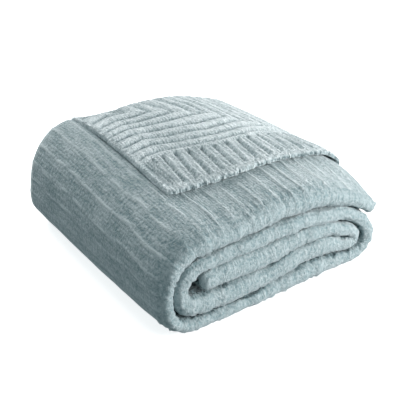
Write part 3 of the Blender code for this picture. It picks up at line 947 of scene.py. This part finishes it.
def nubs(make, place, knit):
    """Nubs, an arch across each row times a lower arch along each stitch, and a chance value for each.
    Every row is half a stitch further on than the one before."""
    slow = make.node("TexNoise", output=1, Vector=place, Scale=110.0, Detail=3.0)
    swayed = make.node("VectorMath", settings={"operation": "MULTIPLY_ADD"},
                       _0=slow, _1=ROW_SWAY, _2=place)
    along = make.node("SeparateXYZ", _0=swayed) / knit.row
    row_number = along.floor()
    across = make.node("SeparateXYZ", output=1, _0=swayed) / knit.stitch + row_number * 0.5
    which = make.node("CombineXYZ", X=row_number, Y=across.floor())
    chance = make.node("TexWhiteNoise", settings={"noise_dimensions": "2D"}, Vector=which)
    stitch = 1.0 - knit.stitch_share + across.fraction().arch() * knit.stitch_share
    return along.fraction().arch() * stitch, chance


# %% The chenille material
def chenille(name, knit):
    """Chenille for one side of the knit: its nubs and noises as a bump, and the same ones as colour."""
    material, shader = new_material(name, YARN)
    make = Value(material.node_tree)
    place = make.node("UVMap", settings={"uv_map": "flat cloth"})
    painted_shading = make.node("Attribute", output=2, settings={"attribute_name": "painted_shading"})
    at_fold = make.node("SeparateXYZ", output=1, _0=place).step(*FOLD_ACROSS)
    calm, less = 1.0 - at_fold * CALM_NUBS, 1.0 - at_fold * CALM_LUMPS
    nub, chance = nubs(make, place, knit)
    nub = nub * calm
    pile = noise(make, place, scale=850.0, detail=3.0, roughness=0.7)
    patches = noise(make, place, scale=30.0, detail=4.0, roughness=0.65)
    lumps = noise(make, place, scale=290.0, detail=2.0, roughness=0.6)
    drawn_out = make.node("Mapping", Vector=place, Scale=STREAKS)
    streaks = noise(make, drawn_out, scale=210.0, detail=2.0, roughness=0.5)

    height = nub * (BUMP.nub + chance * BUMP.chance) + pile * BUMP.pile + lumps * BUMP.lumps * less
    height = height + streaks * BUMP.streaks * calm + patches * BUMP.patches
    relief = make.node("Bump", Strength=1.0, Distance=knit.nub_height, Height=height)

    tone = PLAIN_TONE + ((lumps - 0.5) * TONE.lumps + (pile - 0.5) * TONE.pile) * less
    tone = tone + (streaks - 0.5) * TONE.streaks * calm + (patches - 0.5) * TONE.patches
    # Painted light and shade: the nub term pales the nubs' tops and darkens the gaps between them, and the
    # crest term pales the ribs and darkens the valleys and nips.
    tone = tone + chance * TONE.chance + nub * TONE.nub + (painted_shading - NEUTRAL_SHADING) * SHADING_TONE
    # Painted shade: the lowest lumps in the darkest nips turn to near-black pits.
    pit_shade = (PIT_SHADE_LEVEL - painted_shading).clamp() * lumps.step(*PIT_SHADE_LUMP)
    colour = mix(make, tone.clamp(), (*knit.deep, 1.0), (*knit.pale, 1.0))
    colour = mix(make, (pit_shade * PIT_SHADE_GAIN).clamp(), colour, (*PIT_SHADE_COLOUR, 1.0))
    make.put(shader.inputs["Base Color"], colour)
    make.put(shader.inputs["Normal"], relief)
    make.put(shader.inputs["Roughness"], PILE_ROUGHNESS - nub * NUB_GLOSS)
    return material


throw_roll.data.materials.append(chenille("chenille smooth side", SMOOTH))
throw_turned_back.data.materials.append(chenille("chenille ribbed side", RIBBED))
print("materials:", [material.name for material in bpy.data.materials])

# %% [markdown]
# ## The studio
# A plain pale floor fills the view. It glows a little, to be evenly pale, but doesn't light the cloth,
# so the left wall stays in shade. Two broad lamps behind the bundle graze the top and bring out its
# ribs, a small low one in front on the right lights the layered end, and a weak high one fills in. The
# world adds an even cool light. The lamps are hidden from the camera, as if outside its frame.

# %% The floor
FLOOR_HALF = 6.0
GLOWING = {"Base Color": (0.8, 0.8, 0.8, 1.0), "Roughness": 0.9,
           "Emission Color": (1.0, 1.0, 1.0, 1.0), "Emission Strength": 0.75}

floor_mesh = bpy.data.meshes.new("floor")
corners = [(x * FLOOR_HALF, y * FLOOR_HALF, 0) for x, y in ((-1, -1), (1, -1), (1, 1), (-1, 1))]
floor_mesh.from_pydata(corners, [], [(0, 1, 2, 3)])
floor_mesh.materials.append(new_material("pale floor", GLOWING)[0])
floor = add("floor", floor_mesh)
floor.visible_diffuse = False
print("floor:", 2 * FLOOR_HALF, "m square")

# %% The lights
Lamp = namedtuple("Lamp", "name place size power")
LAMPS = (
    Lamp("behind on the left", (0.0, 1.95, 1.05), 1.0, 37.0),
    Lamp("behind on the right", (1.35, 1.4, 1.0), 1.0, 15.0),
    Lamp("low, in front on the right", (0.95, -1.1, 0.33), 0.6, 26.0),
    Lamp("high, in front", (0.0, -1.56, 1.62), 1.0, 8.0),
)
LAMP_AIM = np.array([0, 0, 0.06])
LAMP_COLOUR = (1.0, 0.965, 0.955)
WORLD_COLOUR, WORLD_STRENGTH = (0.83, 1.0, 1.05, 1.0), 0.32

for lamp in LAMPS:
    light = bpy.data.lights.new(lamp.name, "AREA")
    light.shape = "DISK"
    light.size = lamp.size
    light.energy = lamp.power
    light.color = LAMP_COLOUR
    holder = add(lamp.name, light)
    holder.location = lamp.place
    holder.visible_camera = False
    aim = LAMP_AIM - np.array(lamp.place)
    flat_aim = np.hypot(aim[0], aim[1])
    holder.rotation_euler = (np.arctan2(flat_aim, -aim[2]), 0, np.arctan2(aim[1], aim[0]) - np.pi / 2)

world = bpy.data.worlds.new("even light")
world.use_nodes = True
background = world.node_tree.nodes["Background"]
background.inputs["Color"].default_value = WORLD_COLOUR
background.inputs["Strength"].default_value = WORLD_STRENGTH
bpy.context.scene.world = world
bpy.context.scene.view_settings.view_transform = "Standard"
print("lamps:", [lamp.name for lamp in LAMPS])

# %% [markdown]
# ## What the pieces are
# Both pieces ride on the part's one body and stand for its one CAD solid. The rolled layers are the
# throw's whole panel, cut 1.27 m by 1.78 m; the part that is turned back is the end of that same
# panel.

for piece in (throw_roll, throw_turned_back):
    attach(piece, "root")
    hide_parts("throw")
